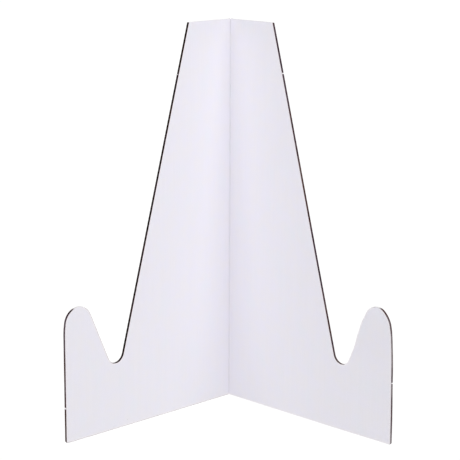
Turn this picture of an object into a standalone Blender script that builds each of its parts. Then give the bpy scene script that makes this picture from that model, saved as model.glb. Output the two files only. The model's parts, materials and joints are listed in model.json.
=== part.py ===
"""Folding display easel, cut from one white-faced board and creased down the middle.

Two mirror-image wings stand at an angle to each other and meet at the crease, with the
hollow side of the V towards the viewer.  Each wing has a long sloping front edge that the
displayed item leans on, a rounded notch that its lower edge sits in, and an upright
rounded hook that keeps it from sliding off.

The board is a solid core with a thin paper facing glued to each side.  Along the crease
the back facing and the core are cut right through, and only the front facing is left
whole, so it is the hinge.

Frame: metres, +Z up, +Y away from the viewer, +X to the viewer's right.  The origin is
the middle of the footprint's box, on the table.
"""

import math

import bpy
from mathutils import Vector

# Overall sizes
HEIGHT = 0.305  # table to the top edge
FOOT_LENGTH = 0.170  # crease to a wing's outer edge, along the wing
TOP_WIDTH = 0.0445  # crease to a wing's top corner, along the wing
OPENING = math.radians(90.0)  # angle between the wings' front faces, standing

# Hook and notch, in the plane of a wing
HOOK_HEIGHT = 0.1027  # table to the tip of the hook
HOOK_FROM_EDGE = 0.0132  # outer edge to the middle of the hook's round tip
HOOK_RADIUS = 0.0125  # round tip of the hook
SHOULDER_RADIUS = 0.0480  # hook's outer side, between its round tip and the outer edge
NOTCH_HEIGHT = 0.0521  # table to the bottom of the notch
NOTCH_FROM_EDGE = 0.0492  # outer edge to the middle of the notch
NOTCH_RADIUS = 0.0080  # round bottom of the notch
FOOT_CORNER_RADIUS = 0.0015  # outer corner of the foot
TOP_CORNER_RADIUS = 0.0006  # top corner of the sloping edge

# Board
CORE_THICKNESS = 0.0016
FACING_THICKNESS = 0.00015
GLUE_LINE = 0.00005  # clearance between a facing and the core
FACING_SETBACK = 0.0001  # a facing's edge stands this far inside the core's edge

# Crease
CUT_WIDTH = 0.0003  # cut through the core and the back facing, with the board flat
CREASE_WIDTH = 0.0030  # front facing on each side of the fold line that flexes
CREASE_GAP = 0.00005  # clearance between that strip and the rest of the front facing

# Stubs of the tabs that held the blank in its sheet
TAB_LENGTH = 0.0014
TAB_STAND = 0.0003
TAB_CHAMFER = 0.0003
LEFT_TAB_HEIGHTS = (0.2661, 0.0270)  # on the sloping edge and on the foot's outer edge
RIGHT_TAB_HEIGHTS = (0.2672, 0.0480)

ARC_STEP = math.radians(7.5)  # longest turn between two points of a round stretch

HALF_OPENING = OPENING / 2
CORE_FRONT = FACING_THICKNESS + GLUE_LINE
CORE_BACK = CORE_FRONT + CORE_THICKNESS
BOARD_BACK = CORE_BACK + GLUE_LINE + FACING_THICKNESS

# The footprint's front is a foot's tab, its back is the back facing beside the crease.
FOOT_REACH = (FOOT_LENGTH + TAB_STAND) * math.cos(HALF_OPENING) - CORE_FRONT * math.sin(HALF_OPENING)
CREASE_DEPTH = (
    BOARD_BACK * math.sin(HALF_OPENING)
    - (CUT_WIDTH / 2 + FACING_SETBACK) * math.cos(HALF_OPENING)
)
CREASE_Y = (FOOT_REACH - CREASE_DEPTH) / 2

EDGE_BROWN = (0.045, 0.030, 0.030, 1.0)
PAPER_WHITE = (0.86, 0.85, 0.90, 1.0)
CREASE_WHITE = (0.78, 0.77, 0.82, 1.0)


def clear_scene():
    for obj in list(bpy.data.objects):
        bpy.data.objects.remove(obj, do_unlink=True)


def make_material(name, colour, roughness):
    material = bpy.data.materials.new(name)
    material.use_nodes = True
    shader = material.node_tree.nodes["Principled BSDF"]
    shader.inputs["Base Color"].default_value = colour
    shader.inputs["Roughness"].default_value = roughness
    shader.inputs["Metallic"].default_value = 0.0
    return material


def polar(angle):
    return Vector((math.cos(angle), math.sin(angle)))


def arc(centre, radius, start, end):
    """Points on a circle from angle start to angle end, both included."""
    steps = max(2, math.ceil(abs(end - start) / ARC_STEP))
    turns = [start + (end - start) * i / steps for i in range(steps + 1)]
    return [centre + radius * polar(turn) for turn in turns]


def tab_stub(middle, along, outward):
    """Four points of a small flat-topped stub on a straight edge."""
    half = along * TAB_LENGTH / 2
    chamfer = along * TAB_CHAMFER
    stand = outward * TAB_STAND
    return [middle - half, middle - half + chamfer + stand, middle + half - chamfer + stand, middle + half]


def wing_outline(start, inset=0.0, tab_heights=None):
    """Outline of one layer of a wing: x runs away from the crease, y runs up.

    start is the layer's distance from the crease line, and inset pulls its other edges in.
    With tab_heights, for the sloping edge and the foot, the outline also has the two tab
    stubs, as the core has.
    """
    notch = Vector((FOOT_LENGTH - NOTCH_FROM_EDGE, NOTCH_HEIGHT + NOTCH_RADIUS))
    hook = Vector((FOOT_LENGTH - HOOK_FROM_EDGE, HOOK_HEIGHT - HOOK_RADIUS))
    top_corner = Vector((TOP_WIDTH, HEIGHT))

    # The sloping edge runs from the top corner and touches the notch's circle.
    to_notch = notch - top_corner
    slope_angle = math.atan2(to_notch.y, to_notch.x) - math.asin(NOTCH_RADIUS / to_notch.length)
    slope_out = slope_angle + math.pi / 2

    # The hook's inner edge crosses over from the notch's circle to the hook's.
    to_hook = hook - notch
    crossing = math.asin((NOTCH_RADIUS + HOOK_RADIUS) / to_hook.length)
    hook_out = math.atan2(to_hook.y, to_hook.x) + crossing + math.pi / 2

    # The shoulder touches the hook's circle and the outer edge.
    across = SHOULDER_RADIUS - HOOK_FROM_EDGE
    drop = math.sqrt((SHOULDER_RADIUS - HOOK_RADIUS) ** 2 - across**2)
    shoulder = Vector((FOOT_LENGTH - SHOULDER_RADIUS, hook.y - drop))
    shoulder_out = math.atan2(drop, across)

    notch_radius = NOTCH_RADIUS + inset
    hook_radius = HOOK_RADIUS - inset
    notch_start = notch - notch_radius * polar(slope_out)
    top = HEIGHT - inset
    rise = (top - notch_start.y) / math.sin(slope_angle)
    slope_top = notch_start + rise * polar(slope_angle)

    # The top corner is rounded between the top edge and the sloping edge.
    corner_radius = TOP_CORNER_RADIUS
    corner_tangent = corner_radius * math.tan((math.pi / 2 - slope_out) / 2)
    corner = Vector((slope_top.x - corner_tangent, top - corner_radius))

    points = [Vector((start, inset)), Vector((start, top))]
    points += arc(corner, corner_radius, math.pi / 2, slope_out)
    if tab_heights is not None:
        down = polar(slope_angle)
        run = (tab_heights[0] - notch_start.y) / down.y
        points += tab_stub(notch_start + run * down, down, polar(slope_out))
    points += arc(notch, notch_radius, slope_out + math.pi, hook_out + math.pi)
    points += arc(hook, hook_radius, hook_out, shoulder_out)
    points += arc(shoulder, SHOULDER_RADIUS - inset, shoulder_out, 0.0)[1:]
    if tab_heights is not None:
        middle = Vector((FOOT_LENGTH, tab_heights[1]))
        points += tab_stub(middle, Vector((0.0, -1.0)), Vector((1.0, 0.0)))
    foot_radius = FOOT_CORNER_RADIUS - inset
    foot = Vector((FOOT_LENGTH - FOOT_CORNER_RADIUS, FOOT_CORNER_RADIUS))
    points += arc(foot, foot_radius, 0.0, -math.pi / 2)
    return points


def flat_piece(name, points, thickness, material, collection):
    """A flat piece of the given outline and thickness, centred on its own plane."""
    curve = bpy.data.curves.new(name, "CURVE")
    curve.dimensions = "2D"
    curve.fill_mode = "BOTH"
    curve.extrude = thickness / 2
    spline = curve.splines.new("POLY")
    spline.points.add(len(points) - 1)
    for spline_point, point in zip(spline.points, points):
        spline_point.co = (point.x, point.y, 0.0, 1.0)
    spline.use_cyclic_u = True
    curve.materials.append(material)
    piece = bpy.data.objects.new(name, curve)
    collection.objects.link(piece)
    return piece


def wing_axis(name, turn, collection):
    """An empty on the crease line, with its X axis along the wing's front face."""
    axis = bpy.data.objects.new(name, None)
    axis.empty_display_size = FOOT_LENGTH / 4
    axis.location = (0.0, CREASE_Y, 0.0)
    axis.rotation_euler = (0.0, 0.0, turn)
    collection.objects.link(axis)
    return axis


def stand_layer(piece, axis, front, thickness, back_side):
    """Stand a flat layer up on its wing, its front face this far behind the wing's face."""
    piece.parent = axis
    piece.location = (0.0, back_side * (front + thickness / 2), 0.0)
    piece.rotation_euler = (math.pi / 2, 0.0, 0.0)


def build_wing(side, turn, back_side, tab_heights, collection):
    """Core, front facing and back facing of one wing."""
    axis = wing_axis(side + "_wing_axis", turn, collection)

    outline = wing_outline(CUT_WIDTH / 2, tab_heights=tab_heights)
    material = make_material(side + "_core_board", EDGE_BROWN, 0.85)
    core = flat_piece(side + "_core", outline, CORE_THICKNESS, material, collection)
    stand_layer(core, axis, CORE_FRONT, CORE_THICKNESS, back_side)

    outline = wing_outline(CREASE_WIDTH + CREASE_GAP, FACING_SETBACK)
    material = make_material(side + "_front_paper", PAPER_WHITE, 0.6)
    front = flat_piece(side + "_front_facing", outline, FACING_THICKNESS, material, collection)
    stand_layer(front, axis, 0.0, FACING_THICKNESS, back_side)

    outline = wing_outline(CUT_WIDTH / 2 + FACING_SETBACK, FACING_SETBACK)
    material = make_material(side + "_back_paper", PAPER_WHITE, 0.6)
    back = flat_piece(side + "_back_facing", outline, FACING_THICKNESS, material, collection)
    stand_layer(back, axis, CORE_BACK + GLUE_LINE, FACING_THICKNESS, back_side)


def build_crease(collection):
    """The strip of front facing that joins the wings, standing in their V."""
    along = Vector((math.sin(HALF_OPENING), -math.cos(HALF_OPENING)))
    backward = Vector((math.cos(HALF_OPENING), math.sin(HALF_OPENING)))
    front_end = along * CREASE_WIDTH
    back_end = front_end + backward * FACING_THICKNESS
    inner_corner = Vector((0.0, FACING_THICKNESS / math.sin(HALF_OPENING)))
    right_half = [front_end, back_end]
    left_half = [Vector((-point.x, point.y)) for point in reversed(right_half)]
    outline = right_half + [inner_corner] + left_half + [Vector((0.0, 0.0))]

    material = make_material("crease_paper", CREASE_WHITE, 0.6)
    crease = flat_piece("spine_crease", outline, HEIGHT - 2 * FACING_SETBACK, material, collection)
    crease.location = (0.0, CREASE_Y, HEIGHT / 2)


def main():
    clear_scene()
    easel = bpy.data.collections.new("display_easel")
    bpy.context.scene.collection.children.link(easel)
    build_wing("left", -math.pi / 2 - HALF_OPENING, -1.0, LEFT_TAB_HEIGHTS, easel)
    build_wing("right", -math.pi / 2 + HALF_OPENING, 1.0, RIGHT_TAB_HEIGHTS, easel)
    build_crease(easel)


main()
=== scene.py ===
import json
import math

import bmesh
import bpy
from mathutils import Matrix, Vector, noise
from mathutils.geometry import delaunay_2d_cdt
from mathutils.kdtree import KDTree


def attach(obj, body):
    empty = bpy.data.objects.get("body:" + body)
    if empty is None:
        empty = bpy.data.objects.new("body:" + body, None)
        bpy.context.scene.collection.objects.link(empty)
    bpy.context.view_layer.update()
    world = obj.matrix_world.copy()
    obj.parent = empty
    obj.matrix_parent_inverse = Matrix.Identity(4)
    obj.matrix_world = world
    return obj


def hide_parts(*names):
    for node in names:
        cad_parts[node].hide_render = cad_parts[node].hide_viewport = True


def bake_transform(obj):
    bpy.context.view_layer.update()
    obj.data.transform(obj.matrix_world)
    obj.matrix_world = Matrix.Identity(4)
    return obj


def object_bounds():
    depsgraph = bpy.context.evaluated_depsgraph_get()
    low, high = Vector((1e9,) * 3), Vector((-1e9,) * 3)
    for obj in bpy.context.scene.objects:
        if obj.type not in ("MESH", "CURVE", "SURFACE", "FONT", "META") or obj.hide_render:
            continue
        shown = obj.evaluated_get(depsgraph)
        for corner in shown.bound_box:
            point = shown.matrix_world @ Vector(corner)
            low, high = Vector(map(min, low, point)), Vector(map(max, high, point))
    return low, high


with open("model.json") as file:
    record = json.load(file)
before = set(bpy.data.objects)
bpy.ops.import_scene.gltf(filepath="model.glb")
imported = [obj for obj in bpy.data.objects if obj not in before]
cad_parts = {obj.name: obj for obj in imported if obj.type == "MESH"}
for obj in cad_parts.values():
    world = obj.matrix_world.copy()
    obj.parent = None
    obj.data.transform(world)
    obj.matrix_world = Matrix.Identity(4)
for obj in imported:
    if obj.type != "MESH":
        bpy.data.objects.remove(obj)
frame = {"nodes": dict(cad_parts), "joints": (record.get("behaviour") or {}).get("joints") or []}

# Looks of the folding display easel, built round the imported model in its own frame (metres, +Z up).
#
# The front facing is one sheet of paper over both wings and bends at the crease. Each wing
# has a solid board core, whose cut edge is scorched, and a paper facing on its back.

CAD_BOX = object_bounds()
MM = 0.001

# Board
FRONT_PAPER_BACK = 0.19 * MM  # the front facing meets the core here, behind the wing's face
BACK_PAPER_FRONT = 0.01 * MM  # gap left between the core and the back facing
EDGE_POINT_SPACING = 1.6 * MM  # along a facing's cut edge
CORE_EDGE_SPACING = 0.8 * MM
STUB_SPACING = 0.2 * MM
GRID = 4.0 * MM  # of points over every layer's faces, at the same spots in each
GRID_CLEARANCE = 0.6 * GRID  # between those points and a rim or a column beside the crease
WELD = 0.001 * MM  # vertices nearer than this are one
ON_EDGE = 0.01 * MM  # points of a facing's outline this near its inner edge lie on it

# Crease
FOLD_RADIUS = 0.35 * MM  # of the front face in the fold
FOLD_STEPS = 8
CREASE_COLUMNS = (0.8 * MM, 1.6 * MM, 3.0 * MM)  # beside the fold, from the crease
CREASE_ROW = 3.0 * MM
CREASE_WANDER = 0.12 * MM
WANDER_SCALE = 60.0
WANDER_SEED = 7.0
# Painted shade along the fold line of the front facing
PAINTED_CREASE_SHADE = (0.25 * MM, 1.3 * MM)  # from the crease: where it starts to fade, where it ends

# Cut edge
BURN_BACK = 0.05 * MM  # the cut edge draws back this far beside the facings
BURN_LEFT = 0.25  # share of that which is left at the same depth into the core
FULL_EDGE = 0.35  # share of the core's thickness at which its edge stands full
STRIATION = 0.035 * MM
STRIATION_SCALE = 900.0
THROUGH_SCALE = 500.0  # of the striations, through the board
WING_SHIFT = 40.0  # keeps the two wings' striations apart
TORN_HEIGHT = 0.12 * MM
TORN_SCALE = 3.0  # times finer than the striations
CUT_WALL = 0.06 * MM  # the cores keep this far from the crease
CORNER = 0.3  # sine of the least turn of an outline that is a sharp corner
STUB_REACH = 1.7 * MM  # edge on each side of a tab stub's middle that has finer points
STUB_STAND = 0.25 * MM  # a core's points this far from its facing's edge belong to a stub
STUB_SEARCH = 0.1 * MM  # spacing of the facing's points for that test
# Painted highlight: a lighter strip on a facing along the charred stretches of its cut edge
CHARRED = 0.3  # least scorch that gets a painted highlight strip beside it on the facing
HIGHLIGHT_STRIP = (0.7 * MM, 1.6 * MM)  # from the edge: where it starts to fade, where it ends
STRIP_SLACK = 0.95  # share of its depth that a strip's point keeps from all of the rim

# Warp of the right wing, along its back's direction. Each part of it sets in over a stretch
# out from the crease and one up from the table, but the foot's fades over its upward one.
HOOK_LEAN = -2.6 * MM
HOOK_LEAN_OUT = (0.115, 0.150)
HOOK_LEAN_UP = (0.056, 0.105)
FOOT_SPREAD = 0.7 * MM
FOOT_SPREAD_OUT = (0.110, 0.170)
FOOT_SPREAD_FADE = (0.015, 0.060)
TOP_SPREAD = 0.7 * MM
TOP_SPREAD_OUT = (0.015, 0.050)
TOP_SPREAD_UP = (0.100, 0.300)

# The right hook's cut is a little fuller than the left one's, on its inner side and its tip.
# A pair of stretches is where it sets in and where it fades again, out or up as above.
INNER_SWELL = 1.0 * MM
INNER_SWELL_UP = ((0.066, 0.082), (0.088, 0.096))
INNER_SWELL_OUT = ((0.118, 0.126), (0.146, 0.165))
TIP_RISE = 1.5 * MM
TIP_RISE_UP = (0.066, 0.104)
TIP_RISE_OUT = ((0.120, 0.135), (0.160, 0.169))

# Scorch of each stretch of the cut edge, from 0, bare board, to 1, charred
# The char is the board's own, but the left wing's sloping and outer edges are set darker than the
# right wing's as painted shade, for the weaker light on them
SLOPE_SCORCH_AND_SHADE = {"left": 0.98, "right": 0.74}
OUTER_SCORCH_AND_SHADE = {"left": 0.64, "right": 0.47}
TIP_SCORCH = 0.05
TOP_SCORCH = 0.0
STUB_SCORCH = -0.2
PAPER_BURN = 1.3  # power of the core's scorch that the thin paper beside it shows

# One stretch's scorch turns into the next one's as the edge's outward normal turns
OUTER_FADE = (0.5, 0.95)  # outward share of the normal
TIP_FADE = {"left": (0.84, 0.99), "right": (0.94, 1.0)}  # upward share
TOP_FADE = (0.6, 0.95)  # upward share
HOOK_FROM = 0.7  # share of a wing's length beyond which lie its hook and outer edge
TIP_ABOVE = 0.25  # share of its height above which lies the hook's tip
TOP_EDGE = 1.0 * MM  # depth of the stretch that counts as the top edge

# Half length of the pale, torn patch at the foot's tab stub and at the sloping edge's
TORN_REACH = {"left": (0.75 * MM, 0.25 * MM), "right": (0.55 * MM, 0.60 * MM)}
TORN_FADE = (0.8, 1.1)  # in half lengths from its middle


class Wing:
    """One wing's axes: along the board from the crease, up, and back through the board.

    The board is neither quite flat nor quite symmetrical: stray gives how far a spot is from
    its nominal place.
    """

    def __init__(self, side):
        joint = frame["joints"][0]
        self.side = side
        self.body = side + "_wing"
        self.crease = Vector(joint["pos_m"]).to_2d().to_3d()
        largest = max(self.node("core").data.polygons, key=lambda face: face.area)
        self.back = largest.normal.copy()
        if self.back.y < 0:
            self.back.negate()
        self.up = Vector((0.0, 0.0, 1.0))
        self.along = self.back.cross(self.up).normalized()
        if self.along.y > 0:
            self.along.negate()
        self.sign = 1.0 if self.along.x > 0 else -1.0
        self.core = outline_of(self, "core")
        self.length = max(point.x for point in self.core)
        self.height = max(point.y for point in self.core)
        self.facing = outline_of(self, "back_facing")
        self.stubs = stub_middles(self.core, self.facing)

    def node(self, layer):
        return frame["nodes"][self.side + "_" + layer]

    def stray(self, out, height):
        """How far out, up and back a spot strays."""
        if self.side == "left":
            return 0.0, 0.0, 0.0
        hook = HOOK_LEAN * ease(*HOOK_LEAN_OUT, out) * ease(*HOOK_LEAN_UP, height)
        foot = FOOT_SPREAD * ease(*FOOT_SPREAD_OUT, out) * (1 - ease(*FOOT_SPREAD_FADE, height))
        top = TOP_SPREAD * ease(*TOP_SPREAD_OUT, out) * ease(*TOP_SPREAD_UP, height)
        swell = INNER_SWELL * hump(*INNER_SWELL_UP, height) * hump(*INNER_SWELL_OUT, out)
        rise = TIP_RISE * ease(*TIP_RISE_UP, height) * hump(*TIP_RISE_OUT, out)
        return -swell, rise, hook + foot + top

    def place(self, out, height, depth):
        further, higher, deeper = self.stray(out, height)
        spot = self.crease + self.along * (out + further) + self.up * (height + higher)
        return spot + self.back * (depth + deeper)

    def flat(self, point):
        """Distance from the crease, height and depth of a point."""
        offset = Vector(point) - self.crease
        return offset.dot(self.along), offset.z, offset.dot(self.back)

    def depths(self, layer):
        depths = [self.flat(vertex.co)[2] for vertex in self.node(layer).data.vertices]
        return min(depths), max(depths)

    def scorch_at(self, point, normal):
        """How dark the cut edge is set at a point of it, from its char and, on the left wing, painted
        shade, and how much torn fibre it shows.
        """
        scorch = SLOPE_SCORCH_AND_SHADE[self.side]
        if point.x > HOOK_FROM * self.length:
            scorch += (OUTER_SCORCH_AND_SHADE[self.side] - scorch) * ease(*OUTER_FADE, normal.x)
            if point.y > TIP_ABOVE * self.height:
                scorch += (TIP_SCORCH - scorch) * ease(*TIP_FADE[self.side], normal.y)
        if point.y > self.height - TOP_EDGE:
            scorch += (TOP_SCORCH - scorch) * ease(*TOP_FADE, normal.y)
        torn = 0.0
        for stub, reach in zip(self.stubs, TORN_REACH[self.side]):
            low, high = [share * reach for share in TORN_FADE]
            torn = max(torn, 1 - ease(low, high, (point - stub).length))
        return scorch + (STUB_SCORCH - scorch) * torn, torn


def turns_at(before, point, after, least=1e-4):
    """True where an outline changes direction at a point by more than a sine of least."""
    return abs((point - before).normalized().cross((after - point).normalized())) > least


def outline_of(wing, layer):
    """A layer's outline in its wing's plane: (distance from the crease, height), in order."""
    shape = bmesh.new()
    shape.from_mesh(wing.node(layer).data)
    bmesh.ops.remove_doubles(shape, verts=shape.verts, dist=WELD)
    facing_front = -0.99  # or less, of a face's normal along the back's direction
    others = [face for face in shape.faces if face.normal.dot(wing.back) > facing_front]
    bmesh.ops.delete(shape, geom=others, context="FACES")
    rim = {}
    for edge in shape.edges:
        if edge.is_boundary:
            for vertex in edge.verts:
                rim.setdefault(vertex, []).append(edge.other_vert(vertex))
    start = min(rim, key=lambda vertex: sum(wing.flat(vertex.co)[:2]))
    loop = [start]
    step = max(rim[start], key=lambda vertex: wing.flat(vertex.co)[0])
    while step is not start:
        loop.append(step)
        step = next(vertex for vertex in rim[step] if vertex is not loop[-2])
    points = [Vector(wing.flat(vertex.co)[:2]) for vertex in loop]
    shape.free()
    count = len(points)
    return [p for i, p in enumerate(points) if turns_at(points[i - 1], p, points[(i + 1) % count])]


def resample(points, spacing, closed=True):
    """The outline with extra points, so that no two are further apart than spacing."""
    fine = []
    for point, following in zip(points, points[1:] + points[:1] if closed else points[1:]):
        steps = max(1, math.ceil((following - point).length / spacing))
        fine += [point.lerp(following, i / steps) for i in range(steps)]
    return fine if closed else fine + [points[-1]]


def finer_near(points, places, reach, spacing):
    """The closed outline with extra points where it passes within reach of a place."""
    fine = []
    for point, following in zip(points, points[1:] + points[:1]):
        near = any((point.lerp(following, 0.5) - place).length < reach for place in places)
        steps = max(1, math.ceil((following - point).length / spacing)) if near else 1
        fine += [point.lerp(following, i / steps) for i in range(steps)]
    return fine


def tree_of(points):
    tree = KDTree(len(points))
    for i, point in enumerate(points):
        tree.insert(point.to_3d(), i)
    tree.balance()
    return tree


def grid_inside(rim, start=0.0):
    """Points of a square grid, kept clear of the rim and at least start from the crease."""
    tree = tree_of(rim)
    columns, rows = [
        range(math.floor(min(values) / GRID), math.ceil(max(values) / GRID) + 1)
        for values in zip(*rim)
    ]
    points = [Vector((i * GRID, j * GRID)) for i in columns for j in rows]
    beyond = [point for point in points if abs(point.x) >= start]
    return [point for point in beyond if tree.find(point.to_3d())[2] > GRID_CLEARANCE]


def triangles_of(rim, inner):
    """Triangles that fill a rim and use the inner points that lie in it."""
    edges = [(i, (i + 1) % len(rim)) for i in range(len(rim))]
    flat = [point / MM for point in rim + inner]
    inside_only = 1
    nearest = 1e-5
    vertices, _, triangles, *_ = delaunay_2d_cdt(flat, edges, [], inside_only, nearest)
    assert len(vertices) == len(flat)
    return triangles


def close_solid(shape, layers, triangles, rim_size):
    """Joins layers of vertices, front to back, into a solid, and returns its side walls.

    The first rim_size vertices of each layer go round its rim. The end layers have the rest.
    """
    for layer in (layers[0], layers[-1]):
        for corners in triangles:
            shape.faces.new([layer[i] for i in corners]).smooth = True
    walls = []
    for layer, deeper in zip(layers, layers[1:]):
        for i in range(rim_size):
            j = (i + 1) % rim_size
            wall = shape.faces.new((layer[i], layer[j], deeper[j], deeper[i]))
            wall.smooth = True
            walls.append(wall)
    for layer in (layers[0], layers[-1]):
        for i in range(rim_size):
            shape.edges.get((layer[i], layer[(i + 1) % rim_size])).smooth = False
    loose = [vertex for vertex in shape.verts if not vertex.link_faces]
    bmesh.ops.delete(shape, geom=loose, context="VERTS")
    return walls


def outward_normals(points):
    """Unit normals of a closed outline that runs anticlockwise, one for each point."""
    normals = []
    for i, point in enumerate(points):
        before = (point - points[i - 1]).normalized()
        after = (points[(i + 1) % len(points)] - point).normalized()
        direction = (before + after).normalized()
        normals.append(Vector((direction.y, -direction.x)))
    return normals


def is_stub(point, smooth_outline):
    """True for a point of the core that stands out from the facing's edge: a tab stub."""
    return all((point - other).length > STUB_STAND for other in smooth_outline)


def stub_middles(core, facing):
    """The middles of a core's tab stubs, lowest first: it stands out from its facing there."""
    edge = resample(facing, STUB_SEARCH)
    proud = [point for point in core if is_stub(point, edge)]
    middles = []
    while proud:
        group = [point for point in proud if (point - proud[0]).length < STUB_REACH]
        proud = [point for point in proud if point not in group]
        middles.append(sum(group, Vector((0.0, 0.0))) / len(group))
    return sorted(middles, key=lambda middle: middle.y)


def ease(low, high, value):
    """0 below low and 1 above high, smooth between them."""
    share = min(1.0, max(0.0, (value - low) / (high - low)))
    return share * share * (3 - 2 * share)


def hump(start, end, value):
    """Eases from 0 to 1 over the start stretch and back to 0 over the end stretch."""
    return ease(*start, value) * (1 - ease(*end, value))


def new_piece(name, shape, *materials):
    mesh = bpy.data.meshes.new(name)
    bmesh.ops.recalc_face_normals(shape, faces=shape.faces)
    shape.to_mesh(mesh)
    shape.free()
    for material in materials:
        mesh.materials.append(material)
    piece = bpy.data.objects.new(name, mesh)
    bpy.context.scene.collection.objects.link(piece)
    return piece


def sharpen_corners(shape, layers, rim):
    """Marks the edges through the thickness where the rim turns a corner."""
    for i, point in enumerate(rim):
        if turns_at(rim[i - 1], point, rim[(i + 1) % len(rim)], CORNER):
            for layer, deeper in zip(layers, layers[1:]):
                shape.edges.get((layer[i], deeper[i])).smooth = False


def board_core(wing, material):
    """The solid board of one wing, with its striated and scorched edge."""
    rim = resample(wing.core, CORE_EDGE_SPACING)
    rim = finer_near(rim, wing.stubs, STUB_REACH, STUB_SPACING)
    inner = grid_inside(rim)
    normals = outward_normals(rim)
    front, back = wing.depths("core")
    full = front + (back - front) * FULL_EDGE
    rows = [(front, 1.0), (front + BURN_BACK, BURN_LEFT), (full, 0.0)]
    rows += [(front + back - depth, drawn) for depth, drawn in reversed(rows)]

    shape = bmesh.new()
    blank = shape.verts.layers.float_vector.new("blank")
    scorch_layer = shape.verts.layers.float.new("scorch")

    def vertex_at(point, depth, scorch):
        vertex = shape.verts.new(wing.place(point.x, point.y, depth))
        vertex[blank] = Vector((wing.sign * point.x, point.y, depth))
        vertex[scorch_layer] = scorch
        return vertex

    layers = []
    for depth, drawn in rows:
        layer = []
        for point, normal in zip(rim, normals):
            scorch, torn = wing.scorch_at(point, normal)
            through = depth * THROUGH_SCALE + wing.sign * WING_SHIFT
            where = Vector((point.x * STRIATION_SCALE, point.y * STRIATION_SCALE, through))
            fibre = torn * TORN_HEIGHT * noise.noise(where * TORN_SCALE)
            rough = STRIATION * noise.noise(where) + fibre
            moved = point + normal * (rough - drawn * BURN_BACK)
            moved.x = max(moved.x, CUT_WALL)
            moved.y = max(moved.y, 0.0)
            layer.append(vertex_at(moved, depth, scorch))
        if depth in (front, back):
            layer += [vertex_at(point, depth, SLOPE_SCORCH_AND_SHADE[wing.side]) for point in inner]
        layers.append(layer)
    close_solid(shape, layers, triangles_of(rim, inner), len(rim))
    sharpen_corners(shape, layers, rim)

    piece = new_piece(wing.side + "_board_core", shape, material)
    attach(piece, wing.body)
    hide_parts(wing.side + "_core")


def rows_beside(rim, normals, scorches):
    """Rows of points along the charred stretches of a rim, for the painted highlight strip inside it.
    """
    tree = tree_of(rim)
    rows = []
    for depth in HIGHLIGHT_STRIP:
        for point, normal, scorch in zip(rim, normals, scorches):
            inside = point - normal * depth
            if scorch > CHARRED and tree.find(inside.to_3d())[2] > STRIP_SLACK * depth:
                rows.append(inside)
    return rows


def facing_shape(rim, inner, depths, place, wings):
    """A facing as a closed sheet between two depths, marked where the hot cut burned it and where a
    painted highlight strip runs beside the char.

    Points are (across, height) on the opened blank, with across negative on the left wing.
    place stands one up at a depth, and wings are the ones left and right of the crease.
    """
    normals = outward_normals(rim)
    scorches = []
    for point, normal in zip(rim, normals):
        wing = wings[1] if point.x > 0 else wings[0]
        outward = Vector((wing.sign, 1.0))
        scorch = wing.scorch_at(point * outward, normal * outward)[0]
        scorches.append(max(scorch, 0.0) ** PAPER_BURN)
    charred = tree_of([point for point, scorch in zip(rim, scorches) if scorch > CHARRED])
    inner = rows_beside(rim, normals, scorches) + inner
    scorches += [0.0] * len(inner)

    shape = bmesh.new()
    blank = shape.verts.layers.float_vector.new("blank")
    scorch_layer = shape.verts.layers.float.new("scorch")
    highlight_layer = shape.verts.layers.float.new("painted_rim_highlight")
    layers = []
    for depth in depths:
        layer = []
        for point, scorch in zip(rim + inner, scorches):
            vertex = shape.verts.new(place(point.x, point.y, depth))
            vertex[blank] = Vector((point.x, point.y, depth))
            vertex[scorch_layer] = scorch
            # painted highlight, strongest next to the charred edge and gone beyond the strip
            vertex[highlight_layer] = 1 - ease(*HIGHLIGHT_STRIP, charred.find(point.to_3d())[2])
            layer.append(vertex)
        layers.append(layer)
    for wall in close_solid(shape, layers, triangles_of(rim, inner), len(rim)):
        wall.material_index = 1
    sharpen_corners(shape, layers, rim)
    return shape


def back_paper(wing, paper, cut_edge):
    """The facing on the back of one wing."""
    front = wing.depths("core")[1] + BACK_PAPER_FRONT
    back = wing.depths("back_facing")[1]
    rim = resample(wing.facing, EDGE_POINT_SPACING)
    rim = finer_near(rim, wing.stubs, STUB_REACH, STUB_SPACING)
    if wing.sign < 0:
        rim = [Vector((-point.x, point.y)) for point in reversed(rim)]

    def place(across, height, depth):
        return wing.place(abs(across), height, depth)

    shape = facing_shape(rim, grid_inside(rim), (front, back), place, (wing, wing))
    piece = new_piece(wing.side + "_back_paper", shape, paper, cut_edge)
    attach(piece, wing.body)
    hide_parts(wing.side + "_back_facing")


class FoldedSheet:
    """Places points of the flat front facing on the folded easel."""

    def __init__(self, left, right):
        self.left = left
        self.right = right
        self.turn = math.atan2(right.back.x, right.back.y)
        self.straight_from = FOLD_RADIUS * math.tan(self.turn)
        self.centre = left.crease - Vector((0.0, FOLD_RADIUS / math.cos(self.turn), 0.0))

    def place(self, across, height, depth):
        """across is the distance from the crease, negative on the left wing."""
        wander = CREASE_WANDER * noise.noise(Vector((0.0, height * WANDER_SCALE, WANDER_SEED)))
        wander *= 1 - ease(0.0, CREASE_COLUMNS[1], abs(across))
        if abs(across) >= self.straight_from:
            wing = self.right if across > 0 else self.left
            return wing.place(abs(across), height, depth) + Vector((wander, 0.0, 0.0))
        angle = self.turn * across / self.straight_from
        spoke = Vector((math.sin(angle), math.cos(angle), 0.0)) * (FOLD_RADIUS + depth)
        return self.centre + spoke + Vector((wander, 0.0, height))


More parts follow.
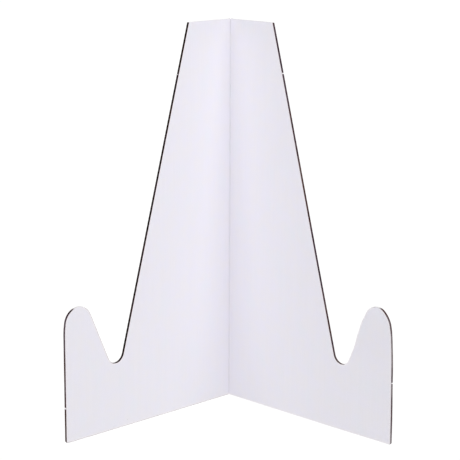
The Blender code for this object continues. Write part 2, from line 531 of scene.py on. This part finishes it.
def front_paper(left, right, paper, cut_edge):
    """The front facing: one sheet over both wings, folded at the crease."""
    sheet = FoldedSheet(left, right)
    outline = outline_of(right, "front_facing")
    low = min(point.y for point in outline)
    high = max(point.y for point in outline)
    inner_edge = min(point.x for point in outline)
    half_sheet = [point for point in outline if point.x > inner_edge + ON_EDGE]

    fold = [sheet.straight_from * i / FOLD_STEPS for i in range(1, FOLD_STEPS + 1)]
    right_columns = fold + list(CREASE_COLUMNS)
    columns = [-across for across in reversed(right_columns)] + [0.0] + right_columns
    foot = Vector((columns[-1], low))
    top = Vector((columns[-1], high))
    side = resample([foot] + half_sheet + [top], EDGE_POINT_SPACING, closed=False)
    left_side = [Vector((-point.x, point.y)) for point in reversed(side)]
    rim = side + [Vector((across, high)) for across in reversed(columns[1:-1])]
    rim += left_side + [Vector((across, low)) for across in columns[1:-1]]
    stubs = [Vector((wing.sign * stub.x, stub.y)) for wing in (left, right) for stub in wing.stubs]
    rim = finer_near(rim, stubs, STUB_REACH, STUB_SPACING)

    row_count = math.ceil((high - low) / CREASE_ROW)
    heights = [low + (high - low) * i / row_count for i in range(1, row_count)]
    inner = [Vector((across, height)) for across in columns for height in heights]
    inner += grid_inside(rim, start=columns[-1] + GRID_CLEARANCE)

    depths = (0.0, FRONT_PAPER_BACK)
    shape = facing_shape(rim, inner, depths, sheet.place, (left, right))
    piece = new_piece("front_paper", shape, paper, cut_edge)
    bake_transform(piece)
    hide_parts("left_front_facing", "right_front_facing", "spine_crease")


# Materials


def socket(group, kind, name, direction, value=None):
    made = group.interface.new_socket(name=name, in_out=direction, socket_type="NodeSocket" + kind)
    if value is not None:
        made.default_value = value


def new_group(name, inputs, outputs):
    """An empty shader node group with named sockets."""
    group = bpy.data.node_groups.new(name, "ShaderNodeTree")
    for kind, socket_name, value in inputs:
        socket(group, kind, socket_name, "INPUT", value)
    for kind, socket_name in outputs:
        socket(group, kind, socket_name, "OUTPUT")
    return group, group.nodes.new("NodeGroupInput"), group.nodes.new("NodeGroupOutput")


def noise_node(tree, vector, scale=1.0, detail=2.0):
    node = tree.nodes.new("ShaderNodeTexNoise")
    node.inputs["Scale"].default_value = scale
    node.inputs["Detail"].default_value = detail
    node.inputs["Roughness"].default_value = 0.55
    tree.links.new(vector, node.inputs["Vector"])
    return node.outputs["Fac"]


def stretched(tree, vector, scale):
    """The vector scaled by a number of its own along each axis."""
    node = tree.nodes.new("ShaderNodeMapping")
    node.inputs["Scale"].default_value = scale
    tree.links.new(vector, node.inputs["Vector"])
    return node.outputs["Vector"]


def math_node(tree, operation, *values, clamp=False):
    node = tree.nodes.new("ShaderNodeMath")
    node.operation = operation
    node.use_clamp = clamp
    for place, value in zip(node.inputs, values):
        if isinstance(value, (int, float)):
            place.default_value = value
        else:
            tree.links.new(value, place)
    return node.outputs["Value"]


def remap(tree, value, low, high, to_low=0.0, to_high=1.0):
    """Eases from to_low to to_high as the value goes from low to high."""
    node = tree.nodes.new("ShaderNodeMapRange")
    node.interpolation_type = "SMOOTHSTEP"
    node.inputs["From Min"].default_value = low
    node.inputs["From Max"].default_value = high
    node.inputs["To Min"].default_value = to_low
    node.inputs["To Max"].default_value = to_high
    tree.links.new(value, node.inputs["Value"])
    return node.outputs["Result"]


def mix_colour(tree, factor, first, second, blend="MIX"):
    node = tree.nodes.new("ShaderNodeMix")
    node.data_type = "RGBA"
    node.blend_type = blend
    for name, value in (("Factor_Float", factor), ("A_Color", first), ("B_Color", second)):
        place = next(entry for entry in node.inputs if entry.identifier == name)
        if isinstance(value, (float, tuple)):
            place.default_value = value
        else:
            tree.links.new(value, place)
    return next(entry for entry in node.outputs if entry.identifier == "Result_Color")


def blank_coordinates(tree):
    """Where a point lies on the flat blank: across, up and through the board."""
    node = tree.nodes.new("ShaderNodeAttribute")
    node.attribute_name = "blank"
    return node.outputs["Vector"]


def own_value(tree, name):
    """A value that each point of the piece's mesh has of its own."""
    node = tree.nodes.new("ShaderNodeAttribute")
    node.attribute_name = name
    return node.outputs["Fac"]


def paper_stock_group():
    """Coated paper: faint cloudy tone, fine streaks along the making direction, and tooth."""
    group, given, result = new_group(
        "paper_stock",
        [
            ("Vector", "Blank", None),
            ("Color", "Paper", (0.85, 0.84, 0.9, 1.0)),
            ("Color", "Cloud", (0.85, 0.83, 0.86, 1.0)),
            ("Color", "Cool", (0.84, 0.85, 0.9, 1.0)),
            ("Float", "Clouding", 0.7),
            ("Float", "Streaks", 0.035),
        ],
        [("Color", "Colour"), ("Float", "Roughness"), ("Float", "Tooth")],
    )
    cloud_scale = 85.0
    cloud_edge = (0.35, 0.65)
    cool_scale = (60.0, 38.0, 1.0)
    cool_edge = (0.5, 0.7)
    streak_scale = (900.0, 14.0, 1.0)
    noise_mean = 0.5
    tooth_scale = 2600.0
    roughness = (0.58, 0.5)  # of the paper and of its clouds

    vector = given.outputs["Blank"]
    cloud = remap(group, noise_node(group, vector, cloud_scale, detail=3.0), *cloud_edge)
    cloudy = math_node(group, "MULTIPLY", cloud, given.outputs["Clouding"])
    tone = mix_colour(group, cloudy, given.outputs["Paper"], given.outputs["Cloud"])
    patches = noise_node(group, stretched(group, vector, cool_scale), detail=3.0)
    cool = remap(group, patches, *cool_edge)
    cooler = math_node(group, "MULTIPLY", cool, given.outputs["Clouding"])
    tone = mix_colour(group, cooler, tone, given.outputs["Cool"])
    streak = noise_node(group, stretched(group, vector, streak_scale))
    streak = math_node(group, "MULTIPLY_ADD", streak, given.outputs["Streaks"], 1.0)
    level = math_node(group, "MULTIPLY_ADD", given.outputs["Streaks"], -noise_mean, streak)
    combine = group.nodes.new("ShaderNodeCombineColor")
    for name in ("Red", "Green", "Blue"):
        group.links.new(level, combine.inputs[name])
    colour = mix_colour(group, 1.0, tone, combine.outputs["Color"], "MULTIPLY")
    tooth = noise_node(group, vector, tooth_scale, detail=3.0)
    group.links.new(colour, result.inputs["Colour"])
    group.links.new(remap(group, cloud, 0.0, 1.0, *roughness), result.inputs["Roughness"])
    group.links.new(tooth, result.inputs["Tooth"])
    return group


def fibre_specks_group():
    """A few fibres and specks caught in the paper."""
    group, given, result = new_group(
        "fibre_specks",
        [("Vector", "Blank", None), ("Float", "Scale", 55.0), ("Float", "Size", 0.02)],
        [("Float", "Specks")],
    )
    cells = group.nodes.new("ShaderNodeTexVoronoi")
    group.links.new(given.outputs["Blank"], cells.inputs["Vector"])
    group.links.new(given.outputs["Scale"], cells.inputs["Scale"])
    separate = group.nodes.new("ShaderNodeSeparateColor")
    group.links.new(cells.outputs["Color"], separate.inputs["Color"])
    most_cells = 0.93  # share of the cells that have no speck
    rare = math_node(group, "GREATER_THAN", separate.outputs["Red"], most_cells)
    near = math_node(group, "LESS_THAN", cells.outputs["Distance"], given.outputs["Size"])
    group.links.new(math_node(group, "MULTIPLY", rare, near), result.inputs["Specks"])
    return group


def scorch_group():
    """A laser-cut edge, from bare pulp board to char, with its striations and plies."""
    group, given, result = new_group(
        "scorched_cut",
        [("Vector", "Blank", None), ("Float", "Scorch", 1.0)],
        [("Color", "Colour"), ("Float", "Roughness"), ("Float", "Relief")],
    )
    patch_scale = 60.0
    patch_edge = (0.3, 0.7)
    patch_change = (-0.16, 0.08)  # of the scorch, in the lightest and the darkest patches
    stria_scale = (2600.0, 2600.0, 180.0)
    stria_change = 0.12
    uneven_between = (0.0, 0.3)  # scorch at which those changes set in, and are whole
    ply_scale = (60.0, 60.0, 5200.0)
    ply_relief = 0.5  # beside the striations' 1
    tinge_scale = 28.0
    tinge_edge = (0.4, 0.6)
    sooty_blue = (0.92, 0.97, 1.2, 1.0)
    toasted = (1.2, 1.0, 0.75, 1.0)
    tinged_between = (0.45, 0.85)  # scorch at which the tinge sets in, and is whole
    roughness = (0.9, 0.62)  # of bare board and of char

    vector = given.outputs["Blank"]
    patches = noise_node(group, vector, patch_scale, detail=4.0)
    patches = remap(group, patches, *patch_edge, *patch_change)
    striae = noise_node(group, stretched(group, vector, stria_scale))
    plies = noise_node(group, stretched(group, vector, ply_scale))
    uneven = math_node(group, "MULTIPLY_ADD", striae, stria_change, patches)
    share = remap(group, given.outputs["Scorch"], *uneven_between)
    uneven = math_node(group, "MULTIPLY", uneven, share)
    level = math_node(group, "ADD", given.outputs["Scorch"], uneven, clamp=True)
    ramp = group.nodes.new("ShaderNodeValToRGB")
    stops = [  # bare board, browned, half burnt, burnt, char
        (0.0, (0.90, 0.88, 0.90, 1.0)),
        (0.25, (0.44, 0.40, 0.41, 1.0)),
        (0.5, (0.142, 0.107, 0.117, 1.0)),
        (0.75, (0.062, 0.030, 0.038, 1.0)),
        (1.0, (0.012, 0.005, 0.006, 1.0)),
    ]
    for stop, colour in stops[1:-1]:
        ramp.color_ramp.elements.new(stop)
    for element, (stop, colour) in zip(ramp.color_ramp.elements, stops):
        element.position = stop
        element.color = colour
    group.links.new(level, ramp.inputs["Fac"])
    relief = math_node(group, "MULTIPLY_ADD", plies, ply_relief, striae)
    warm = remap(group, noise_node(group, vector, tinge_scale), *tinge_edge)
    tinge = mix_colour(group, warm, sooty_blue, toasted)
    burnt = remap(group, level, *tinged_between)
    colour = mix_colour(group, burnt, ramp.outputs["Color"], tinge, "MULTIPLY")
    group.links.new(colour, result.inputs["Colour"])
    group.links.new(remap(group, level, 0.0, 1.0, *roughness), result.inputs["Roughness"])
    group.links.new(relief, result.inputs["Relief"])
    return group


def start_material(name):
    material = bpy.data.materials.new(name)
    material.use_nodes = True
    tree = material.node_tree
    return material, tree, tree.nodes["Principled BSDF"]


def place_group(tree, group, **values):
    node = tree.nodes.new("ShaderNodeGroup")
    node.node_tree = group
    for name, value in values.items():
        node.inputs[name].default_value = value
    return node


def bump(tree, height, distance, shader, strength=1.0):
    node = tree.nodes.new("ShaderNodeBump")
    node.inputs["Strength"].default_value = strength
    node.inputs["Distance"].default_value = distance
    tree.links.new(height, node.inputs["Height"])
    tree.links.new(node.outputs["Normal"], shader.inputs["Normal"])


def paper_material(name, stock, specks, tones, rim_highlight_tone, crease_shade_tone=1.0):
    """White coated paper. A crease_shade_tone under 1 paints shade along the line of the crease."""
    speck_grey = (0.42, 0.38, 0.40, 1.0)
    speck_strength = 0.35
    burnt_paper = (0.16, 0.09, 0.09, 1.0)
    browned_between = (0.6, 0.9)  # scorch at which the paper starts to brown, and is brown
    tooth_height = 0.02 * MM
    material, tree, shader = start_material(name)
    blank = blank_coordinates(tree)
    sheet = place_group(tree, stock, **tones)
    tree.links.new(blank, sheet.inputs["Blank"])
    speck = place_group(tree, specks)
    tree.links.new(blank, speck.inputs["Blank"])
    flecks = math_node(tree, "MULTIPLY", speck.outputs["Specks"], speck_strength)
    colour = mix_colour(tree, flecks, sheet.outputs["Colour"], speck_grey)
    # Painted shade: the paper's colour is darkened in a narrow line along the crease
    if crease_shade_tone < 1.0:
        across = tree.nodes.new("ShaderNodeSeparateXYZ")
        tree.links.new(blank, across.inputs["Vector"])
        distance = math_node(tree, "ABSOLUTE", across.outputs["X"])
        crease_shade_mask = remap(tree, distance, *PAINTED_CREASE_SHADE, 1.0, 0.0)
        shade_tone = (crease_shade_tone, crease_shade_tone, crease_shade_tone, 1.0)
        colour = mix_colour(tree, crease_shade_mask, colour, mix_colour(tree, 1.0, colour, shade_tone, "MULTIPLY"))
    # Painted highlight: a lighter strip of paper beside the charred cut edge
    colour = mix_colour(tree, own_value(tree, "painted_rim_highlight"), colour, rim_highlight_tone)
    browned = remap(tree, own_value(tree, "scorch"), *browned_between)
    colour = mix_colour(tree, browned, colour, burnt_paper)
    tree.links.new(colour, shader.inputs["Base Color"])
    tree.links.new(sheet.outputs["Roughness"], shader.inputs["Roughness"])
    shader.inputs["Specular IOR Level"].default_value = 0.25
    bump(tree, sheet.outputs["Tooth"], tooth_height, shader, strength=0.5)
    return material


def cut_edge_material(name, scorched, relief):
    """A cut edge, scorched as far as the piece's own scorch values say."""
    material, tree, shader = start_material(name)
    edge = place_group(tree, scorched)
    tree.links.new(blank_coordinates(tree), edge.inputs["Blank"])
    tree.links.new(own_value(tree, "scorch"), edge.inputs["Scorch"])
    tree.links.new(edge.outputs["Colour"], shader.inputs["Base Color"])
    tree.links.new(edge.outputs["Roughness"], shader.inputs["Roughness"])
    shader.inputs["Specular IOR Level"].default_value = 0.1
    bump(tree, edge.outputs["Relief"], relief, shader)
    return material


# Studio

WHITE = (1.0, 1.0, 1.0, 1.0)
SHOWN_WHITE = 1.05  # strength that shows as plain white
TABLE_SIZE = 12.0
TABLE_GAP = 0.2 * MM  # under the easel


def shown_white(tree, light, output):
    """Lets the camera see plain white where other rays find the given shader.

    output is Material or World.
    """
    white = tree.nodes.new("ShaderNodeEmission" if output == "Material" else "ShaderNodeBackground")
    white.inputs["Color"].default_value = WHITE
    white.inputs["Strength"].default_value = SHOWN_WHITE
    path = tree.nodes.new("ShaderNodeLightPath")
    mix = tree.nodes.new("ShaderNodeMixShader")
    tree.links.new(path.outputs["Is Camera Ray"], mix.inputs["Fac"])
    tree.links.new(light, mix.inputs[1])
    tree.links.new(white.outputs[0], mix.inputs[2])
    surface = tree.nodes.new("ShaderNodeOutput" + output)
    tree.links.new(mix.outputs["Shader"], surface.inputs["Surface"])


def white_table(glow):
    """A plain white table, which throws an even light up at the easel."""
    bpy.ops.mesh.primitive_plane_add(size=TABLE_SIZE, location=(0.0, 0.0, -TABLE_GAP))
    table = bpy.context.object
    table.name = "white_table"
    material = bpy.data.materials.new("table_white")
    material.use_nodes = True
    tree = material.node_tree
    tree.nodes.clear()
    even = tree.nodes.new("ShaderNodeEmission")
    even.inputs["Strength"].default_value = glow
    shown_white(tree, even.outputs["Emission"], "Material")
    table.data.materials.append(material)


def white_room(strength):
    """An even white surround that lights the easel from all round."""
    world = bpy.data.worlds.new("white_room")
    bpy.context.scene.world = world
    world.use_nodes = True
    tree = world.node_tree
    tree.nodes.clear()
    glow = tree.nodes.new("ShaderNodeBackground")
    glow.inputs["Color"].default_value = WHITE
    glow.inputs["Strength"].default_value = strength
    shown_white(tree, glow.outputs["Background"], "World")


def soft_box(name, azimuth, elevation, distance, size, power):
    """A square soft light aimed at the easel, from an azimuth and elevation in degrees.

    Azimuth 0 is the viewer's side, 90 the right.
    """
    light = bpy.data.lights.new(name, "AREA")
    light.shape = "RECTANGLE"
    light.size = size
    light.size_y = size
    light.energy = power
    lamp = bpy.data.objects.new(name, light)
    bpy.context.scene.collection.objects.link(lamp)
    around = math.radians(azimuth)
    up = math.radians(elevation)
    level = Vector((math.sin(around), -math.cos(around), 0.0))
    away = level * math.cos(up) + Vector((0.0, 0.0, math.sin(up)))
    target = Vector((0.0, 0.0, (CAD_BOX[0].z + CAD_BOX[1].z) / 2))
    lamp.location = target + away * distance
    lamp.rotation_euler = away.to_track_quat("Z", "Y").to_euler()
    lamp.visible_camera = False


def camera(crease):
    """The viewer's camera, a little above the easel and in front of it."""
    data = bpy.data.cameras.new("viewer")
    data.sensor_width = 36.0
    data.lens = 131.26
    heading = math.radians(0.149)  # how far it stands round to the right
    pitch = math.radians(12.455)  # how far it looks down
    roll = math.radians(0.275)
    away = 1.3061  # from the crease, over the table
    height = 0.4255
    aside = 0.36 * MM
    viewer = bpy.data.objects.new("viewer", data)
    bpy.context.scene.collection.objects.link(viewer)
    place = Vector((math.sin(heading) * away + aside, -math.cos(heading) * away, height)) + crease
    turn = Matrix.Rotation(heading, 4, "Z") @ Matrix.Rotation(math.pi / 2 - pitch, 4, "X")
    viewer.matrix_world = Matrix.Translation(place) @ turn @ Matrix.Rotation(roll, 4, "Z")
    bpy.context.scene.camera = viewer


def main():
    left = Wing("left")
    right = Wing("right")
    stock = paper_stock_group()
    specks = fibre_specks_group()
    scorched = scorch_group()

    lavender = (0.888, 0.870, 0.948, 1.0)
    blush = (0.897, 0.874, 0.914, 1.0)
    cool = (0.872, 0.877, 0.940, 1.0)
    # tone of the painted highlight beside the charred cut edges
    rim_highlight_tone = (0.925, 0.895, 0.930, 1.0)
    front_tones = {"Paper": lavender, "Cloud": blush, "Cool": cool}
    back_tones = {"Paper": blush, "Cloud": lavender, "Cool": cool}
    # crease_shade_tone paints shade along the crease of the front facing
    front_white = paper_material(
        "front_white_paper", stock, specks, front_tones, rim_highlight_tone, crease_shade_tone=0.92
    )
    back_white = paper_material("back_white_paper", stock, specks, back_tones, rim_highlight_tone)
    cut_board = cut_edge_material("scorched_board_edge", scorched, relief=0.06 * MM)
    cut_paper = cut_edge_material("browned_paper_edge", scorched, relief=0.02 * MM)

    for wing in (left, right):
        board_core(wing, cut_board)
        back_paper(wing, back_white, cut_paper)
    front_paper(left, right, front_white, cut_paper)

    white_table(glow=0.70)
    white_room(strength=0.403)
    beside = {"elevation": 20.0, "distance": 2.4, "size": 1.6}
    soft_box("right_soft_box", azimuth=45.0, power=18.8, **beside)
    soft_box("left_soft_box", azimuth=-45.0, power=14.2, **beside)
    above = {"azimuth": 0.0, "distance": 1.6, "size": 1.2}
    soft_box("front_overhead_soft_box", elevation=55.0, power=3.9, **above)
    soft_box("overhead_soft_box", elevation=89.0, power=4.9, **above)
    camera(left.crease)
    bpy.context.scene.view_settings.view_transform = "Standard"


main()
